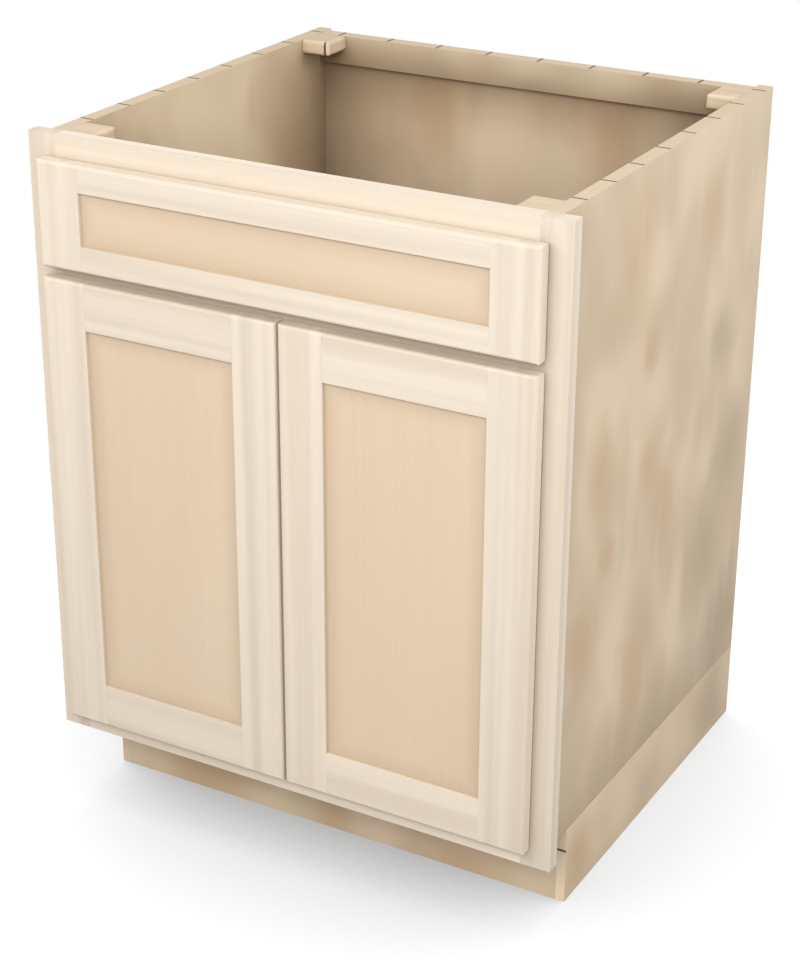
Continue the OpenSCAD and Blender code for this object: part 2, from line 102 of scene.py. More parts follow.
def blend(tree, factor, first, second, mode="MIX"):
    # inputs 6 and 7 and output 2 of this node are its colours
    mix = addNode(tree, "Mix", data_type="RGBA", blend_type=mode, clamp_factor=True)
    for index, value in ((0, factor), (6, first), (7, second)):
        if isinstance(value, bpy.types.NodeSocket):
            tree.links.new(value, mix.inputs[index])
        else:
            mix.inputs[index].default_value = value if index == 0 else (*value, 1)
    return mix.outputs[2]


def tinted(tree, color, tint):
    return blend(tree, 1.0, color, tint, "MULTIPLY")


def toned(tree, color, tone):
    grey = addNode(tree, "CombineColor", {0: tone, 1: tone, 2: tone}).outputs[0]
    return tinted(tree, color, grey)


# A pattern's row in the dictionaries below holds the size of one patch in metres across x, y and z,
# the detail, roughness and distortion of its noise, and the stretch of the noise that shows

def noise(tree, space, row):
    scale = [1 / length for length in row["size"]]
    inputs = {
        "Vector": addNode(tree, "Mapping", {"Vector": space, "Scale": scale}).outputs[0],
        "Scale": 1.0,
        "Detail": row.get("detail", 2.0),
        "Roughness": row.get("roughness", 0.5),
        "Distortion": row.get("distortion", 0.0),
    }
    return addNode(tree, "TexNoise", inputs).outputs["Fac"]


def between(tree, value, row, low, high):
    return remap(tree, value, *row["shown"], low, high, smooth=row.get("smooth", False))


def figure(tree, space, row, low=0.0, high=1.0):
    return between(tree, noise(tree, space, row), row, low, high)


# A board's own space: its middle is the origin and its grain runs along z

grainTurn = {
    "x": (0, math.radians(90), 0),
    "y": (math.radians(-90), 0, 0),
    "z": (0, 0, 0),
}
cutWithin = 2.0  # every board is cut from its own place in the wood, up to this far out in metres
facingLeast = 0.5  # a face looks along an axis where its normal has more than this of it


def cutPlace(dice):
    return [dice.uniform(-cutWithin, cutWithin) for _ in range(3)]


def boardSpace(tree, part, along, offset):
    low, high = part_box(part)
    inputs = {
        "Vector": addNode(tree, "TexCoord").outputs["Object"],
        "Location": (low + high) / 2 + Vector(offset),
        "Rotation": grainTurn[along],
    }
    return addNode(tree, "Mapping", inputs, vector_type="TEXTURE").outputs[0]


def boardSize(part):
    low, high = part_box(part)
    return high - low


def grainAlong(part):
    # along the longest side, but across the case in the corner blocks, which are nearly square
    if part.startswith("corner_block"):
        return "x"
    size = boardSize(part)
    return "xyz"[max(range(3), key=lambda axis: size[axis])]


def thinAxis(part):
    size = boardSize(part)
    return min(range(3), key=lambda axis: size[axis])


# Painted shade: raw wood is made a little darker where boards meet and in corners, where soft shade falls

cornerShade = {"reach": 0.22, "least": 0.35, "samples": 6}
cornerShare = {
    "front_wood": 0.10, "panel_veneer": 0.20, "case_plywood": 0.68, "block_wood": 0.18, "plinth": 0.18,
}
contactShade = {"reach": 0.020, "least": 0.5, "samples": 8}  # on the face frame, beside the doors
contactShare = 0.14
shadeWarmth = (1.0, 1.13, 1.31)  # powers of red, green and blue: deeper shade on wood is warmer


def warmShade(tree, tone):
    channels = {index: calculate(tree, "POWER", tone, power) for index, power in enumerate(shadeWarmth)}
    return addNode(tree, "CombineColor", channels).outputs[0]


# painted shade: darkens a colour by its ambient occlusion, where shade falls
def shadeNear(tree, color, shade, share):
    near = addNode(tree, "AmbientOcclusion", {"Distance": shade["reach"]}, samples=shade["samples"])
    tone = remap(tree, near.outputs["AO"], shade["least"], 1, 1 - share, 1)
    return tinted(tree, color, warmShade(tree, tone))


def makeSurface(tree, color, roughness, height, look):
    inputs = {"Base Color": color, "Roughness": roughness, **look["surface"]}
    surface = addNode(tree, "BsdfPrincipled", inputs)
    lift = {"Height": height, "Strength": look["bump"], "Distance": look["bumpDepth"]}
    tree.links.new(addNode(tree, "Bump", lift).outputs[0], surface.inputs["Normal"])
    output = addNode(tree, "OutputMaterial")
    tree.links.new(surface.outputs[0], output.inputs["Surface"])


# Solid wood: broad soft bands along the grain, faint rings about a pith outside the board and fine fibres

solidWood = {
    "front_wood": {
        "light": (0.798, 0.698, 0.571), "dark": (0.706, 0.604, 0.484),
        "grey": (0.680, 0.595, 0.496), "ring": (0.62, 0.50, 0.365),
        "band": {"size": (0.017, 0.017, 1.1), "detail": 1.2, "roughness": 0.45,
                 "shown": (0.30, 0.66), "smooth": True},
        "cloud": {"size": (0.045, 0.045, 0.8), "detail": 1.0, "shown": (0.50, 0.72), "smooth": True},
        "line": {"size": (0.0024, 0.0024, 0.30), "detail": 1.5, "distortion": 0.3, "shown": (0.3, 0.7)},
        "cloudShare": 0.38, "ringGap": 0.0042, "ringShare": 0.04, "lineTone": (0.982, 1.0072),
        "fibreTone": (0.97, 1.012), "fleckShare": 0.05, "bump": 0.2, "roughness": (0.55, 0.68),
    },
    "block_wood": {
        "light": (0.715, 0.578, 0.418), "dark": (0.620, 0.487, 0.335),
        "grey": (0.590, 0.483, 0.345), "ring": (0.48, 0.33, 0.19),
        "band": {"size": (0.022, 0.022, 0.30), "detail": 1.2, "roughness": 0.45,
                 "shown": (0.30, 0.66), "smooth": True},
        "cloud": {"size": (0.05, 0.05, 0.30), "detail": 1.0, "shown": (0.50, 0.72), "smooth": True},
        "line": {"size": (0.0030, 0.0030, 0.15), "detail": 1.5, "distortion": 0.3, "shown": (0.3, 0.7)},
        "cloudShare": 0.4, "ringGap": 0.0050, "ringShare": 0.06, "lineTone": (0.97, 1.012),
        "fibreTone": (0.95, 1.02), "fleckShare": 0.06, "bump": 0.35, "roughness": (0.62, 0.75),
    },
}
woodGrain = {  # what both woods share
    "pithAway": (0.09, 0.16), "pithBeside": (0.03, 0.07), "pithAlong": (-0.2, 0.2),
    "ringCone": (1, 1, 0.05), "lateWood": (0.25, 0.90),  # rings change little along the grain
    "wander": {"size": (0.05, 0.05, 0.35), "shown": (0, 1)}, "wanderBy": 0.012,
    "ringPatch": {"size": (0.03, 0.03, 0.25), "detail": 1.5, "shown": (0.35, 0.7)},
    "fibre": {"size": (0.0010, 0.0010, 0.040), "detail": 3.0, "roughness": 0.6, "shown": (0.3, 0.7)},
    "fleck": {"size": (0.0009, 0.0009, 0.008), "detail": 1.0, "shown": (0.66, 0.72)},
    "fleckDepth": 3.0, "bumpDepth": 0.00025, "surface": {"IOR": 1.45, "Specular IOR Level": 0.2},
}
boardToneAndLight = {  # boards that are a little darker or paler than the rest; the bottom rail, plinth sides and toe board are paler as painted light where they stand in shade, and the middle rail is darker as painted shade in the gap under the drawer
    "frame_stile_left": 0.96, "frame_stile_right": 0.96, "frame_rail_top": 1.065,
    "frame_rail_middle": 0.89, "frame_rail_bottom": 1.20, "drawer_front_stile_left": 1.05,
    "drawer_front_stile_right": 0.98, "drawer_front_rail_top": 0.975, "left_door_hinge_stile": 1.04,
    "right_door_meeting_stile": 1.055, "right_door_rail_bottom": 1.06, "back_top_rail": 0.90,
    "plinth_side_left": 1.10, "plinth_side_right": 1.10, "toe_kick_board": 1.20,
}
boardTint = {"frame_rail_top": (1.0, 1.012, 1.028)}  # a rail that is less yellow than the rest
fronts = ("drawer_front", "left_door", "right_door")
roundedEdgeShade = {"turned": 0.72, "flat": 0.99, "tone": (0.93, 0.925, 0.93)}  # painted shade: a little darker on the rounded edges, so they catch less light


def ringFigure(tree, space, pithSpace, look):
    radius = vectors(tree, "LENGTH", vectors(tree, "MULTIPLY", pithSpace, look["ringCone"]))
    wander = figure(tree, space, look["wander"], 0, look["wanderBy"])
    years = calculate(tree, "DIVIDE", calculate(tree, "ADD", radius, wander), look["ringGap"])
    lateWood = addNode(tree, "ValToRGB", {"Fac": calculate(tree, "FRACT", years)})
    for stop, position in zip(lateWood.color_ramp.elements, look["lateWood"]):
        stop.position = position
    shown = times(tree, lateWood.outputs["Color"], figure(tree, space, look["ringPatch"]))
    return times(tree, shown, look["ringShare"])


# painted shade: the rounded front edges are darkened where they would catch more light
def shadeRoundedEdges(tree, color):
    turn = vectors(tree, "ABSOLUTE", addNode(tree, "TexCoord").outputs["Normal"])
    turn = addNode(tree, "SeparateXYZ", {0: turn}).outputs
    straight = calculate(tree, "MAXIMUM", calculate(tree, "MAXIMUM", turn[0], turn[1]), turn[2])
    curved = remap(tree, straight, roundedEdgeShade["turned"], roundedEdgeShade["flat"], 1, 0)
    return blend(tree, curved, color, tinted(tree, color, roundedEdgeShade["tone"]))


def solidWoodMaterial(part, along, seed):
    look = {**woodGrain, **solidWood[slotOf[part]]}
    dice = random.Random(seed)
    material, tree = newMaterial(part + "_wood")
    space = boardSpace(tree, part, along, cutPlace(dice))
    color = blend(tree, figure(tree, space, look["band"]), look["dark"], look["light"])
    color = blend(tree, figure(tree, space, look["cloud"], 0, look["cloudShare"]), color, look["grey"])
    pith = (dice.choice((-1, 1)) * dice.uniform(*look["pithAway"]), dice.uniform(*look["pithBeside"]),
            dice.uniform(*look["pithAlong"]))
    rings = ringFigure(tree, space, boardSpace(tree, part, along, pith), look)
    color = blend(tree, rings, color, look["ring"])

    fibre = noise(tree, space, look["fibre"])
    tone = times(tree, figure(tree, space, look["line"], *look["lineTone"]),
                 between(tree, fibre, look["fibre"], *look["fibreTone"]))
    color = toned(tree, color, times(tree, tone, boardToneAndLight.get(part, 1.0)))
    if part in boardTint:
        color = tinted(tree, color, boardTint[part])
    if part.startswith(fronts):
        color = shadeRoundedEdges(tree, color)
    fleck = figure(tree, space, look["fleck"], 0, look["fleckShare"])
    color = marked(tree, part, blend(tree, fleck, color, look["ring"]))

    # painted shade in corners, and on the face frame beside the doors
    color = shadeNear(tree, color, cornerShade, cornerShare[slotOf[part]])
    if part.startswith("frame_") and part != "frame_rail_bottom":
        color = shadeNear(tree, color, contactShade, contactShare)
    roughness = between(tree, fibre, look["fibre"], *look["roughness"])
    height = calculate(tree, "SUBTRACT", fibre, times(tree, fleck, look["fleckDepth"]))
    makeSurface(tree, color, roughness, height, look)
    return material


# Veneered panels: an even warm face with a faint straight figure, and painted shade, warmer and darker,
# beside the frame

panelVeneer = {
    "light": (0.722, 0.577, 0.422), "dark": (0.698, 0.548, 0.392),
    "cloud": {"size": (0.14, 0.14, 0.40), "detail": 1.5, "shown": (0.3, 0.7)},
    "stripe": {"size": (0.007, 0.007, 0.60), "roughness": 0.6, "shown": (0.3, 0.7)},
    "fibre": {"size": (0.0010, 0.0010, 0.03), "detail": 3.0, "roughness": 0.6, "shown": (0.3, 0.7)},
    "stripeTone": (0.986, 1.007), "fibreTone": (0.978, 1.0088), "rim": 0.026, "rimShare": 0.10,
    "roughness": (0.58, 0.68), "bump": 0.12, "bumpDepth": 0.0002,
    "surface": {"IOR": 1.45, "Specular IOR Level": 0.35},
}
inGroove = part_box("left_door_hinge_stile")[1].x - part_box("left_door_panel")[0].x  # hidden by the frame


def fromFrame(tree, part, inset, axis):
    half = boardSize(part)[axis] / 2 - inGroove
    return calculate(tree, "SUBTRACT", half, calculate(tree, "ABSOLUTE", alongAxis(tree, inset, axis)))


def panelMaterial(part, along, seed):
    look = panelVeneer
    dice = random.Random(seed)
    material, tree = newMaterial(part + "_veneer")
    space = boardSpace(tree, part, along, cutPlace(dice))
    color = blend(tree, figure(tree, space, look["cloud"]), look["dark"], look["light"])
    color = toned(tree, color, figure(tree, space, look["stripe"], *look["stripeTone"]))
    low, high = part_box(part)
    inset = vectors(tree, "SUBTRACT", addNode(tree, "TexCoord").outputs["Object"], (low + high) / 2)
    # painted shade: the panel darkens and warms near the frame, where its recess is in shade
    nearest = calculate(tree, "MINIMUM", fromFrame(tree, part, inset, 0), fromFrame(tree, part, inset, 2))
    rim = remap(tree, nearest, 0, look["rim"], 1 - look["rimShare"], 1, smooth=True)
    color = tinted(tree, color, warmShade(tree, rim))
    fibre = noise(tree, space, look["fibre"])
    color = toned(tree, color, between(tree, fibre, look["fibre"], *look["fibreTone"]))
    color = shadeNear(tree, color, cornerShade, cornerShare[slotOf[part]])
    makeSurface(tree, color, between(tree, fibre, look["fibre"], *look["roughness"]), fibre, look)
    return material


# Birch plywood: wide soft patches, small warm ones and pale streaks on faces, faint layers on sawn edges

plywood = {
    "mid": (0.588, 0.466, 0.325), "light": (0.698, 0.572, 0.408), "warm": (0.550, 0.396, 0.250),
    "cool": (0.480, 0.377, 0.255), "pale": (0.700, 0.562, 0.402),
    "patch": {"size": (0.105, 0.105, 0.16), "detail": 1.2, "roughness": 0.45,
              "shown": (0.34, 0.66), "smooth": True},
    "coolPatch": {"size": (0.16, 0.16, 0.20), "detail": 1.0, "roughness": 0.4, "distortion": 0.4,
                  "shown": (0.48, 0.72), "smooth": True},
    "warmPatch": {"size": (0.090, 0.090, 0.130), "detail": 1.0, "roughness": 0.4,
                  "shown": (0.50, 0.74), "smooth": True},
    "patchShare": 0.75, "quiet": 0.45,  # chance patches are quieter on boards that have their own figure
    "streak": {"size": (0.045, 0.045, 0.26), "detail": 1.0, "shown": (0.54, 0.76), "smooth": True},
    "streakShare": 0.40,
    "fibre": {"size": (0.0010, 0.0010, 0.02), "detail": 3.0, "roughness": 0.6, "shown": (0.3, 0.7)},
    "fibreTone": (0.98, 1.01), "roughness": (0.58, 0.70), "bump": 0.18, "bumpDepth": 0.0002,
    "surface": {"IOR": 1.45, "Specular IOR Level": 0.35},
}
plySpot = {  # how the patches of plyFigure fade and wander, and how far through their board they run
    "fade": (0.45, 1.75), "share": 0.90, "through": 100.0,
    "wander": {"size": (0.05, 0.05, 0.07), "detail": 1.0}, "wobble": 0.8,
}
plyFigure = {
    # soft patches on single boards: place across from the middle of the cabinet and up from the floor,
    # half width, half height and tone
    "side_panel_right": [
        (-0.066, 0.775, 0.050, 0.105, "warm"), (0.151, 0.780, 0.048, 0.075, "warm"),
        (-0.154, 0.545, 0.044, 0.070, "warm"), (-0.019, 0.500, 0.040, 0.045, "warm"),
        (-0.182, 0.345, 0.060, 0.060, "warm"), (0.031, 0.430, 0.048, 0.070, "warm"),
        (-0.029, 0.240, 0.052, 0.120, "warm"), (0.251, 0.420, 0.060, 0.075, "cool"),
        (0.186, 0.300, 0.080, 0.085, "cool"), (0.256, 0.175, 0.080, 0.090, "cool"),
        (-0.016, 0.745, 0.042, 0.060, "pale"), (-0.004, 0.590, 0.070, 0.060, "pale"),
        (0.095, 0.280, 0.022, 0.110, "pale"), (-0.025, 0.645, 0.026, 0.032, "warm"),
        (-0.125, 0.430, 0.028, 0.034, "warm"), (0.194, 0.590, 0.050, 0.055, "cool"),
        (0.265, 0.650, 0.050, 0.080, "mid"), (0.290, 0.210, 0.045, 0.065, "cool"),
        (0.080, 0.520, 0.036, 0.050, "mid"), (0.240, 0.790, 0.070, 0.090, "mid"),
    ],
    "side_panel_left": [
        (-0.010, 0.790, 0.085, 0.130, "light"), (-0.190, 0.560, 0.090, 0.130, "pale"),
        (0.110, 0.420, 0.090, 0.150, "warm"),
    ],
    "back_panel": [
        (-0.035, 0.760, 0.055, 0.110, "pale"), (0.120, 0.780, 0.060, 0.120, "warm"),
        (-0.190, 0.780, 0.080, 0.120, "mid"), (-0.130, 0.780, 0.045, 0.110, "warm"),
        (0.060, 0.420, 0.120, 0.160, "light"),
    ],
    "back_top_rail": [
        (-0.060, 0.857, 0.045, 0.040, "mid"), (0.120, 0.857, 0.055, 0.040, "light"),
    ],
    "toe_kick_board": [
        (-0.200, 0.020, 0.075, 0.080, "warm"), (-0.080, 0.020, 0.034, 0.060, "pale"),
        (0.000, 0.030, 0.030, 0.060, "warm"), (0.075, 0.020, 0.040, 0.060, "pale"),
        (0.180, 0.020, 0.075, 0.080, "warm"), (0.285, 0.020, 0.045, 0.060, "pale"),
    ],
    "plinth_side_right": [
        (-0.170, 0.050, 0.045, 0.070, "warm"), (-0.045, 0.050, 0.055, 0.070, "light"),
        (0.105, 0.050, 0.045, 0.080, "pale"), (0.250, 0.050, 0.060, 0.080, "cool"),
    ],
}
insideFaceLight = {  # painted light: the faces that look into the case are paler, as if more light reached them: which way they point, and their tint
    "side_panel_left": {"points": 1, "tint": (1.06, 1.06, 1.05)},
    "side_panel_right": {"points": -1, "tint": (1.06, 1.06, 1.05)},
}
railLow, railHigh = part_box("back_top_rail")
shadeBelow = 0.0932  # how far below the rail the back panel's shade starts
heightShade = {  # boards that darken towards a height: where it starts, where it is darkest, how dark
    "back_top_rail": {"starts": railHigh.z, "darkest": railLow.z, "share": 0.38, "smooth": False},
    "back_panel": {"starts": railLow.z - shadeBelow, "darkest": railLow.z, "share": 0.32, "smooth": True},
}
plyEdge = {
    "light": (0.666, 0.533, 0.386), "dark": (0.648, 0.512, 0.366), "layer": 0.0014,
    "layerShown": (0.3, 0.7), "fibreTone": (0.95, 1.03),
    # painted light: the sawn front ends of the plinth sides are paler, to make up for the shade under the
    # case
    "tint": {"plinth_side_right": (1.36, 1.36, 1.34), "plinth_side_left": (1.08, 1.08, 1.06)},
}


def ownPatches(tree, part, color, space, place):
    face = 1 - thinAxis(part)  # an upright board is thin along x or y, and its face runs along the other
    through = plySpot["through"]
    wander = times(tree, noise(tree, space, plySpot["wander"]), plySpot["wobble"])
    for across, up, halfWidth, halfHeight, tone in plyFigure[part]:
        middle, size = [0, 0, up], [through, through, halfHeight]
        middle[face], size[face] = across, halfWidth
        spot = {"Vector": place, "Location": middle, "Scale": size}
        spot = addNode(tree, "Mapping", spot, vector_type="TEXTURE").outputs[0]
        apart = calculate(tree, "ADD", vectors(tree, "LENGTH", spot), wander)
        inside = remap(tree, apart, *plySpot["fade"], plySpot["share"], 0, smooth=True)
        color = blend(tree, inside, color, plywood[tone])
    return color


def sawnEdge(tree, part, through, fibre):
    layers = calculate(tree, "PINGPONG", through, plyEdge["layer"])
    layers = remap(tree, layers, *(share * plyEdge["layer"] for share in plyEdge["layerShown"]))
    color = blend(tree, layers, plyEdge["dark"], plyEdge["light"])
    if part in plyEdge["tint"]:
        color = tinted(tree, color, plyEdge["tint"][part])
    return toned(tree, color, between(tree, fibre, plywood["fibre"], *plyEdge["fibreTone"]))


def plywoodMaterial(part, along, seed):
    look = plywood
    dice = random.Random(seed)
    material, tree = newMaterial(part + "_plywood")
    space = boardSpace(tree, part, along, cutPlace(dice))
    place = addNode(tree, "TexCoord").outputs
    color = blend(tree, figure(tree, space, look["patch"]), look["mid"], look["light"])
    share = look["patchShare"] * (look["quiet"] if part in plyFigure else 1.0)
    for tone in ("cool", "warm"):
        color = blend(tree, figure(tree, space, look[tone + "Patch"], 0, share), color, look[tone])
    if part in plyFigure:
        color = ownPatches(tree, part, color, space, place["Object"])
    color = blend(tree, figure(tree, space, look["streak"], 0, look["streakShare"]), color, look["pale"])
    fibre = noise(tree, space, look["fibre"])
    tone = between(tree, fibre, look["fibre"], *look["fibreTone"])
    color = toned(tree, color, times(tree, tone, boardToneAndLight.get(part, 1.0)))

    facing = alongAxis(tree, place["Normal"], thinAxis(part))
    if part in insideFaceLight:
        inward = times(tree, facing, insideFaceLight[part]["points"])
        inward = calculate(tree, "GREATER_THAN", inward, facingLeast)
        color = blend(tree, inward, color, tinted(tree, color, insideFaceLight[part]["tint"]))
    if part in heightShade:
        shade = heightShade[part]
        height = alongAxis(tree, place["Object"], "Z")
        shaded = remap(tree, height, shade["starts"], shade["darkest"], 1, 1 - shade["share"],
                       smooth=shade["smooth"])
        color = tinted(tree, color, warmShade(tree, shaded))
    plinth = part.startswith(("plinth", "toe"))
    color = shadeNear(tree, color, cornerShade, cornerShare["plinth" if plinth else slotOf[part]])
    edge = sawnEdge(tree, part, alongAxis(tree, place["Object"], thinAxis(part)), fibre)
    sawn = calculate(tree, "LESS_THAN", calculate(tree, "ABSOLUTE", facing), facingLeast)
    color = marked(tree, part, blend(tree, sawn, color, edge))
    makeSurface(tree, color, between(tree, fibre, look["fibre"], *look["roughness"]), fibre, look)
    return material


# Thin dark lines across some edges. What made them is a guess: staples, saw cuts or marking out

markLine = {
    "color": (0.055, 0.038, 0.022), "share": 0.95, "width": 0.0031, "soft": 0.0012, "pitch": 0.073,
}
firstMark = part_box("frame_stile_left")[0].y + markLine["pitch"]
marksOn = {  # the axis they are spaced along, the first one's place, how many, and how the face looks
    "side_panel_left": {"spaced": "Y", "first": firstMark, "count": 8, "looks": "Z"},
    "side_panel_right": {"spaced": "Y", "first": firstMark, "count": 8, "looks": "Z"},
    "back_top_rail": {"spaced": "X", "first": -0.2745, "count": 8, "looks": "Z"},
    "corner_block_rear_left": {"spaced": "X", "first": -0.2707, "count": 1, "looks": "Y"},
    "plinth_side_right": {"spaced": "Z", "first": 0.0713, "count": 1, "looks": "Y"},
}


def marked(tree, part, color):
    if part not in marksOn:
        return color
    marks = marksOn[part]
    place = addNode(tree, "TexCoord").outputs
    spot = alongAxis(tree, place["Object"], marks["spaced"])
    steps = calculate(tree, "SUBTRACT", spot, marks["first"])
    steps = calculate(tree, "DIVIDE", steps, markLine["pitch"])
    nearest = calculate(tree, "MAXIMUM", calculate(tree, "ROUND", steps), 0.0)
    nearest = calculate(tree, "MINIMUM", nearest, marks["count"] - 1)
    apart = calculate(tree, "ABSOLUTE", calculate(tree, "SUBTRACT", steps, nearest))
    apart = times(tree, apart, markLine["pitch"])
    half, soft = markLine["width"] / 2, markLine["soft"] / 2
    line = remap(tree, apart, half - soft, half + soft, markLine["share"], 0)
    facing = calculate(tree, "ABSOLUTE", alongAxis(tree, place["Normal"], marks["looks"]))
    line = times(tree, line, calculate(tree, "GREATER_THAN", facing, facingLeast))
    return blend(tree, line, color, markLine["color"])


# Metal and rubber

metals = {
    "hinge_steel": {"color": (0.71, 0.71, 0.70), "worn": (0.62, 0.62, 0.61), "roughness": (0.24, 0.38)},
    "screw_steel": {"color": (0.66, 0.63, 0.55), "worn": (0.50, 0.46, 0.38), "roughness": (0.28, 0.45)},
}
metalFigure = {  # what both metals share
    "cloud": {"size": (0.006, 0.006, 0.006), "detail": 3.0, "shown": (0.35, 0.65)},
    "brushed": {"size": (0.0004, 0.0004, 0.006), "detail": 3.0, "roughness": 0.6, "shown": (0.3, 0.7)},
    "bump": 0.15, "bumpDepth": 0.00005, "surface": {"Metallic": 1.0},
}
rubber = {
    "light": (0.90, 0.90, 0.88), "dark": (0.80, 0.80, 0.78), "roughness": (0.25, 0.4),
    "cloud": {"size": (0.002, 0.002, 0.002), "shown": (0.3, 0.7)},
    "bump": 0.05, "bumpDepth": 0.0001, "surface": {"Transmission Weight": 0.6, "IOR": 1.45},
}


def metalMaterial(name):
    look = {**metalFigure, **metals[name]}
    material, tree = newMaterial(name)
    space = addNode(tree, "TexCoord").outputs["Object"]
    color = blend(tree, figure(tree, space, look["cloud"]), look["worn"], look["color"])
    brushed = noise(tree, space, look["brushed"])
    makeSurface(tree, color, between(tree, brushed, look["brushed"], *look["roughness"]), brushed, look)
    return material


def rubberMaterial():
    material, tree = newMaterial("bumper_rubber")
    space = addNode(tree, "TexCoord").outputs["Object"]
    cloud = figure(tree, space, rubber["cloud"])
    color = blend(tree, cloud, rubber["dark"], rubber["light"])
    makeSurface(tree, color, remap(tree, cloud, 0, 1, *rubber["roughness"]), cloud, rubber)
    return material


# Boards: a copy of each wooden part with its sharp outer edges eased. The solids' rounded front edges on
# the doors and the drawer front have the small radius, and the photo shows the large one

easing = {
    "width": 0.0003, "segments": 2, "sharpAngle": math.radians(40), "flatAngle": math.radians(0.5),
    "creaseAngle": math.radians(20), "mergeWithin": 0.000002,
}
rounding = {"small": 0.002, "large": 0.004, "within": 0.00005}
finishOf = {
    "front_wood": solidWoodMaterial,
    "block_wood": solidWoodMaterial,
    "panel_veneer": panelMaterial,
    "case_plywood": plywoodMaterial,
}


def frontBox(part):
    front = next(name for name in fronts if part.startswith(name))
    members = [name for name in slotOf if name.startswith(front) and slotOf[name] == "front_wood"]
    boxes = [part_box(member) for member in members]
    low = [min(box[0][axis] for box in boxes) for axis in range(3)]
    high = [max(box[1][axis] for box in boxes) for axis in range(3)]
    return low, high


def roundFront(work, part):
    # an arc that touches both faces grows by moving its points straight away from the sharp corner
    low, high = frontBox(part)
    grow = rounding["large"] / rounding["small"]
    limit = rounding["small"] + rounding["within"]
    for vertex in work.verts:
        spot = vertex.co
        behind = spot.y - low[1]
        if behind > limit:
            continue
        moved = False
        for axis in (0, 2):
            fromLow, fromHigh = spot[axis] - low[axis], high[axis] - spot[axis]
            if fromLow <= limit:
                spot[axis], moved = low[axis] + fromLow * grow, True
            elif fromHigh <= limit:
                spot[axis], moved = high[axis] - fromHigh * grow, True
        if moved:
            spot.y = low[1] + behind * grow


def easedCopy(part, name):
    mesh = parts[part].data.copy()
    mesh.name = name
    work = bmesh.new()
    work.from_mesh(mesh)
    bmesh.ops.remove_doubles(work, verts=work.verts, dist=easing["mergeWithin"])
    bmesh.ops.recalc_face_normals(work, faces=work.faces)
    bmesh.ops.dissolve_limit(work, angle_limit=easing["flatAngle"], verts=work.verts, edges=work.edges)
    if slotOf[part] == "front_wood" and part.startswith(fronts):
        roundFront(work, part)
    outer = [edge for edge in work.edges if edge.is_manifold and edge.is_convex
             and edge.calc_face_angle() > easing["sharpAngle"]]
    bmesh.ops.bevel(work, geom=outer, offset=easing["width"], offset_type="OFFSET", affect="EDGES",
                    segments=easing["segments"], profile=0.5, material=-1, clamp_overlap=True)
    bmesh.ops.recalc_face_normals(work, faces=work.faces)
    for face in work.faces:
        face.smooth = True
    for edge in work.edges:
        edge.smooth = edge.is_manifold and edge.calc_face_angle() < easing["creaseAngle"]
    work.to_mesh(mesh)
    work.free()
    piece = bpy.data.objects.new(name, mesh)
    bpy.context.scene.collection.objects.link(piece)
    weighted = piece.modifiers.new("evenNormals", "WEIGHTED_NORMAL")
    weighted.keep_sharp = True
    return piece


def setMaterial(piece, material):
    piece.data.materials.clear()
    piece.data.materials.append(material)


boards = sorted((part for part in slotOf if slotOf[part] in finishOf), key=grainAlong)
for seed, part in enumerate(boards, start=1):
    piece = easedCopy(part, part + "_eased")
    wood = finishOf[slotOf[part]](part, grainAlong(part), seed)
    setMaterial(piece, wood)
    setMaterial(parts[part], wood)
    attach(piece, bodyOf[part])
    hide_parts(part)
print("boards eased and grained:", len(boards))

hardware = {name: metalMaterial(name) for name in metals}
hardware["bumper_rubber"] = rubberMaterial()
for part, cadPiece in parts.items():
    if slotOf[part] in hardware:
        setMaterial(cadPiece, hardware[slotOf[part]])
print("hardware finished")


# Studio: a white floor with a soft shadow, partly lit by the lamps and partly painted by ambient
# occlusion, a white surround, soft lamps all round and the camera

studio = {
    "white": (1, 1, 1, 1), "skyStrength": 0.45, "floorRadius": 40.0, "floorSides": 64,
    "floorTint": (0.95, 0.97, 1.0, 1), "floorBounce": (0.25, 0.25, 0.25, 1), "shadowReach": (0.65, 1.2),
}
# painted shadow: near the cabinet the floor glows less where its ambient occlusion finds the cabinet close
floorShade = {"reach": 0.7, "samples": 16, "power": 0.56, "lift": 1.204, "share": 0.84}
lamps = {
    "frontLamp": {"at": (-0.4, -1.7, 1.75), "aim": (0.0, -0.3, 0.8), "size": (1.2, 0.8), "watts": 12.4},
    "farFrontLamp": {"at": (1.5, -4.0, 2.5), "aim": (0.0, -0.3, 0.6), "size": (2.0, 2.0), "watts": 108},
    "cornerLamp": {"at": (0.9, -1.9, 1.5), "aim": (0.1, -0.3, 0.8), "size": (1.0, 0.8), "watts": 3.0},
    "sideLamp": {"at": (2.0, -0.4, 1.25), "aim": (0.3, 0.0, 0.8), "size": (1.2, 0.6), "watts": 10.4},
    "highSideLamp": {"at": (2.6, 0.6, 2.4), "aim": (0.3, 0.0, 0.8), "size": (1.4, 1.2), "watts": 22},
    "topLamp": {"at": (0.0, 0.0, 3.4), "aim": (0.0, 0.0, 0.8), "size": (2.4, 2.4), "watts": 13},
    "leftLamp": {"at": (-2.3, 0.3, 0.52), "aim": (-0.3, 0.0, 0.45), "size": (1.4, 0.3), "watts": 30},
    "backLamp": {"at": (0.2, 2.5, 0.52), "aim": (0.0, 0.3, 0.45), "size": (1.4, 0.3), "watts": 32},
}
photoView = {  # the camera that was fitted to the corners of the cabinet in the photo
    "at": (1.223295, -2.226805, 1.550545), "azimuth": 29.897, "elevation": 24.347,
    "focalPixels": 2211.17, "axisPixel": (374.14, 479.73), "photoSize": (800, 968), "sensor": 36.0,
}


def seenDirectly(tree):
    # by the camera, in a reflection or through a clear bumper, and not by light that bounces about
    rays = addNode(tree, "LightPath").outputs
    seen = calculate(tree, "MAXIMUM", rays["Is Camera Ray"], rays["Is Glossy Ray"])
    return calculate(tree, "MAXIMUM", seen, rays["Is Transmission Ray"])


def mixed(tree, factor, first, second):
    return addNode(tree, "MixShader", {0: factor, 1: first.outputs[0], 2: second.outputs[0]})


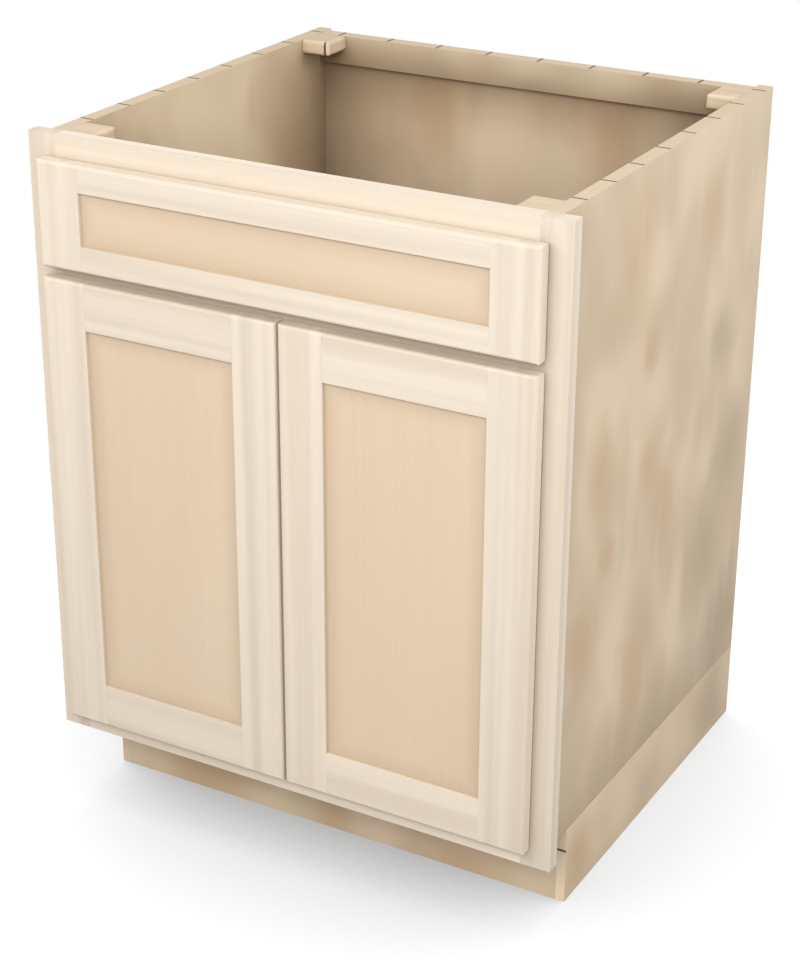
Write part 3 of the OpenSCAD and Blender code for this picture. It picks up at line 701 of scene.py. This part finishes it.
def floorMaterial():
    material, tree = newMaterial("studio_floor")
    away = vectors(tree, "LENGTH", addNode(tree, "TexCoord").outputs["Object"])
    near = remap(tree, away, *studio["shadowReach"], 1, 0, smooth=True)
    # painted shadow: a glow dimmed by ambient occlusion makes most of the floor seen near the cabinet
    shade = addNode(tree, "AmbientOcclusion", {"Distance": floorShade["reach"]},
                    samples=floorShade["samples"])
    light = times(tree, calculate(tree, "POWER", shade.outputs["AO"], floorShade["power"]),
                  floorShade["lift"])
    matt = addNode(tree, "BsdfDiffuse", {"Color": studio["floorTint"]})
    soft = addNode(tree, "Emission", {"Color": studio["white"], "Strength": light})
    far = addNode(tree, "Emission", {"Color": studio["white"], "Strength": 1.0})
    shaded = mixed(tree, near, far, mixed(tree, floorShade["share"], matt, soft))
    bounce = addNode(tree, "BsdfDiffuse", {"Color": studio["floorBounce"]})
    both = mixed(tree, seenDirectly(tree), bounce, shaded)
    output = addNode(tree, "OutputMaterial")
    tree.links.new(both.outputs[0], output.inputs["Surface"])
    return material


def makeFloor():
    mesh = bpy.data.meshes.new("studio_floor")
    work = bmesh.new()
    bmesh.ops.create_circle(work, cap_ends=True, segments=studio["floorSides"],
                            radius=studio["floorRadius"])
    work.to_mesh(mesh)
    work.free()
    floor = bpy.data.objects.new("studio_floor", mesh)
    bpy.context.scene.collection.objects.link(floor)
    setMaterial(floor, floorMaterial())


def makeWorld():
    world = bpy.data.worlds.new("studio_surround")
    bpy.context.scene.world = world
    world.use_nodes = True
    tree = world.node_tree
    tree.nodes.clear()
    sky = addNode(tree, "Background", {"Color": studio["white"], "Strength": studio["skyStrength"]})
    white = addNode(tree, "Background", {"Color": studio["white"], "Strength": 1.0})
    both = mixed(tree, seenDirectly(tree), sky, white)
    output = addNode(tree, "OutputWorld")
    tree.links.new(both.outputs[0], output.inputs["Surface"])


def makeLamp(name):
    setup = lamps[name]
    lamp = bpy.data.lights.new(name, "AREA")
    lamp.shape = "RECTANGLE"
    lamp.size, lamp.size_y = setup["size"]
    lamp.energy = setup["watts"]
    holder = bpy.data.objects.new(name, lamp)
    holder.location = setup["at"]
    toward = Vector(setup["aim"]) - Vector(setup["at"])
    holder.rotation_euler = toward.to_track_quat("-Z", "Y").to_euler()
    holder.visible_camera = False
    bpy.context.scene.collection.objects.link(holder)


def makeCamera():
    view = photoView
    width, height = view["photoSize"]
    longSide = max(width, height)
    lens = bpy.data.cameras.new("photo_camera")
    lens.sensor_width = view["sensor"]
    lens.lens = view["focalPixels"] * view["sensor"] / longSide
    lens.shift_x = (width / 2 - view["axisPixel"][0]) / longSide
    lens.shift_y = (view["axisPixel"][1] - height / 2) / longSide
    camera = bpy.data.objects.new("photo_camera", lens)
    camera.location = view["at"]
    camera.rotation_euler = (math.radians(90 - view["elevation"]), 0, math.radians(view["azimuth"]))
    bpy.context.scene.collection.objects.link(camera)
    bpy.context.scene.camera = camera


makeFloor()
makeWorld()
for lampName in lamps:
    makeLamp(lampName)
makeCamera()
bpy.context.scene.view_settings.view_transform = "Standard"
print("studio ready")
